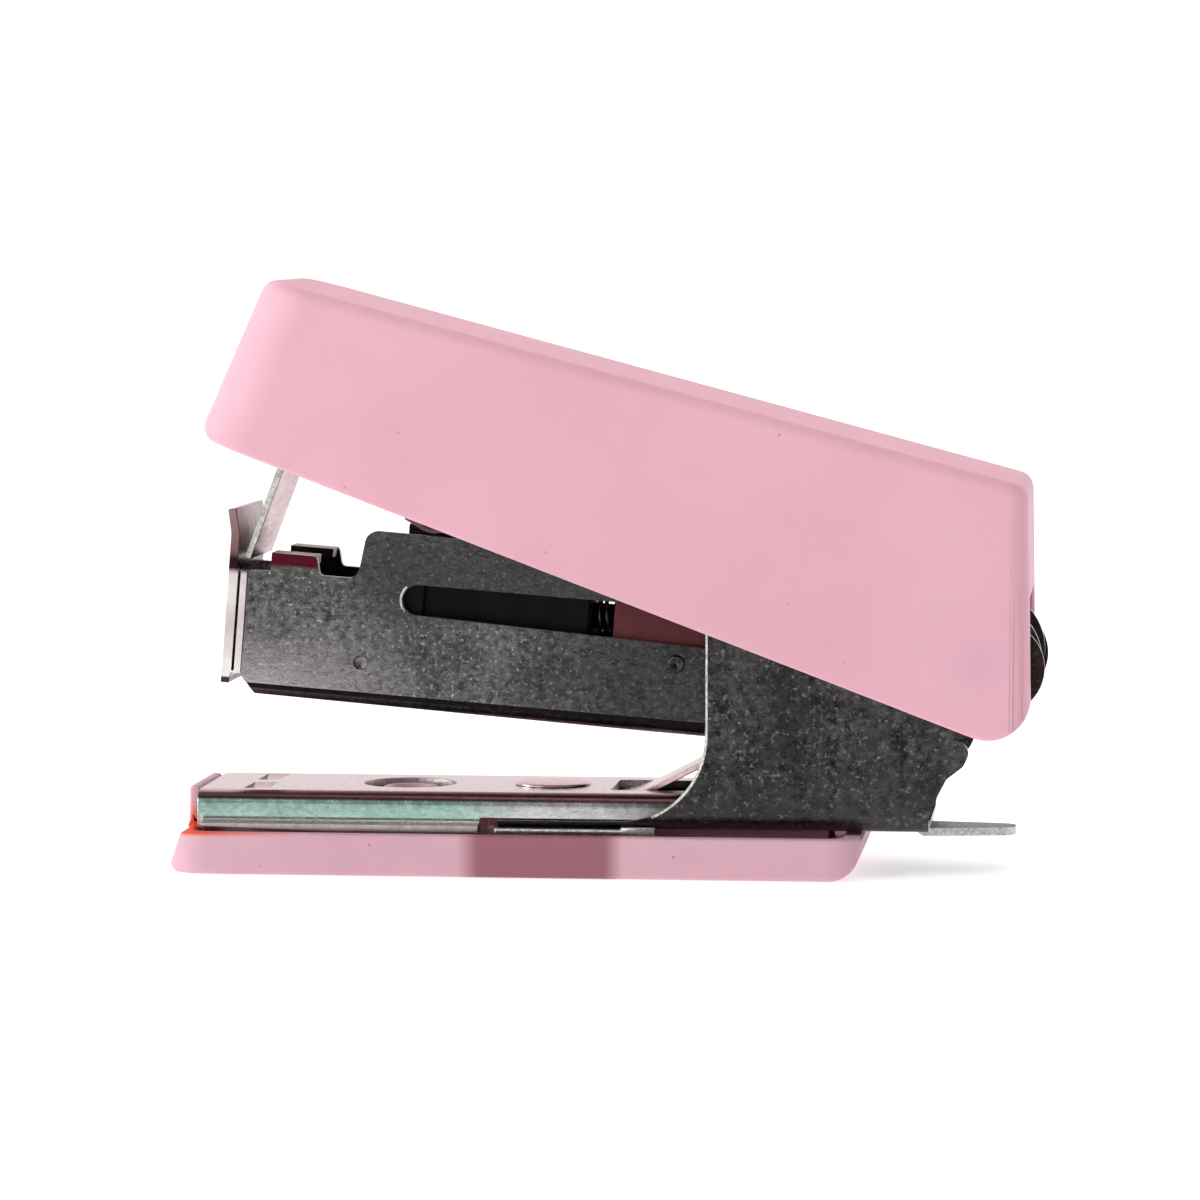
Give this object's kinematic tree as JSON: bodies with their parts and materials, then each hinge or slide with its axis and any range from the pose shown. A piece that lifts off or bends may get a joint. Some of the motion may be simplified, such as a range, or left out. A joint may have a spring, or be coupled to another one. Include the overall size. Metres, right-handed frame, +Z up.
{
  "type": "mini stapler",
  "caption": "Pocket stapler: hollow plastic handle over a pivoting steel staple magazine, on a steel anvil and a shallow plastic tray, with a staple-lifting tongue at the rear.",
  "frame": {"origin": "centre of the overall box in plan, on the plane the tray stands on", "axes": "+X towards the hinge end, Y across, +Z up; the jaws open towards -X"},
  "size_m": [0.0605, 0.0186, 0.0408],
  "materials": {
    "pink_plastic": "smooth moulded pink ABS, slightly translucent at thin edges",
    "nickel_steel": "bright nickel-plated sheet",
    "dark_steel": "dark mottled plated sheet with bright sheared edges",
    "magazine_steel": "grey mottled plated sheet with bright sheared edges",
    "spring_steel": "polished spring steel",
    "staple_wire": "galvanised wire",
    "black_plastic": "satin black"
  },
  "bodies": {
    "base": {"base_tray": "pink_plastic", "anvil_plate": "nickel_steel", "rear_frame": "dark_steel", "leaf_spring": "spring_steel", "leaf_rivet": "nickel_steel", "anvil_rivet": "nickel_steel", "pivot_pin": "spring_steel"},
    "magazine": {"magazine_channel": "magazine_steel", "front_plate": "nickel_steel", "rear_bracket": "dark_steel", "bracket_rivet_left": "magazine_steel", "bracket_rivet_right": "magazine_steel", "guide_rod": "spring_steel", "staple_strip": "staple_wire", "pusher_spring": "spring_steel"},
    "pusher": {"pusher": "black_plastic"},
    "handle": {"handle_shell": "pink_plastic", "driver_plate": "nickel_steel", "driver_blade": "nickel_steel", "blade_rivet": "nickel_steel", "driver_screw_front": "spring_steel", "driver_screw_rear": "spring_steel", "handle_spring": "spring_steel"}
  },
  "joints": [
    {"name": "magazine_pivot", "type": "hinge", "parent": "base", "child": "magazine", "pos_m": [0.02545, 0, 0.01493], "axis": [0, 1, 0], "range_deg": [-6.8, 0], "stiffness_Nm_per_rad": 0.04, "springref_deg": 22.92, "deforming": ["leaf_spring"]},
    {"name": "handle_pivot", "type": "hinge", "parent": "magazine", "child": "handle", "pos_m": [0.02545, 0, 0.01493], "axis": [0, 1, 0], "range_deg": [-10.7, 110], "stiffness_Nm_per_rad": 0.08, "springref_deg": 1.15, "deforming": ["handle_spring"]},
    {"name": "pusher_slide", "type": "slide", "parent": "magazine", "child": "pusher", "axis": [0.9969, 0, -0.0785], "range_m": [0, 0.0118], "stiffness_N_per_m": 25, "springref_m": -0.03, "deforming": ["pusher_spring"]}
  ]
}
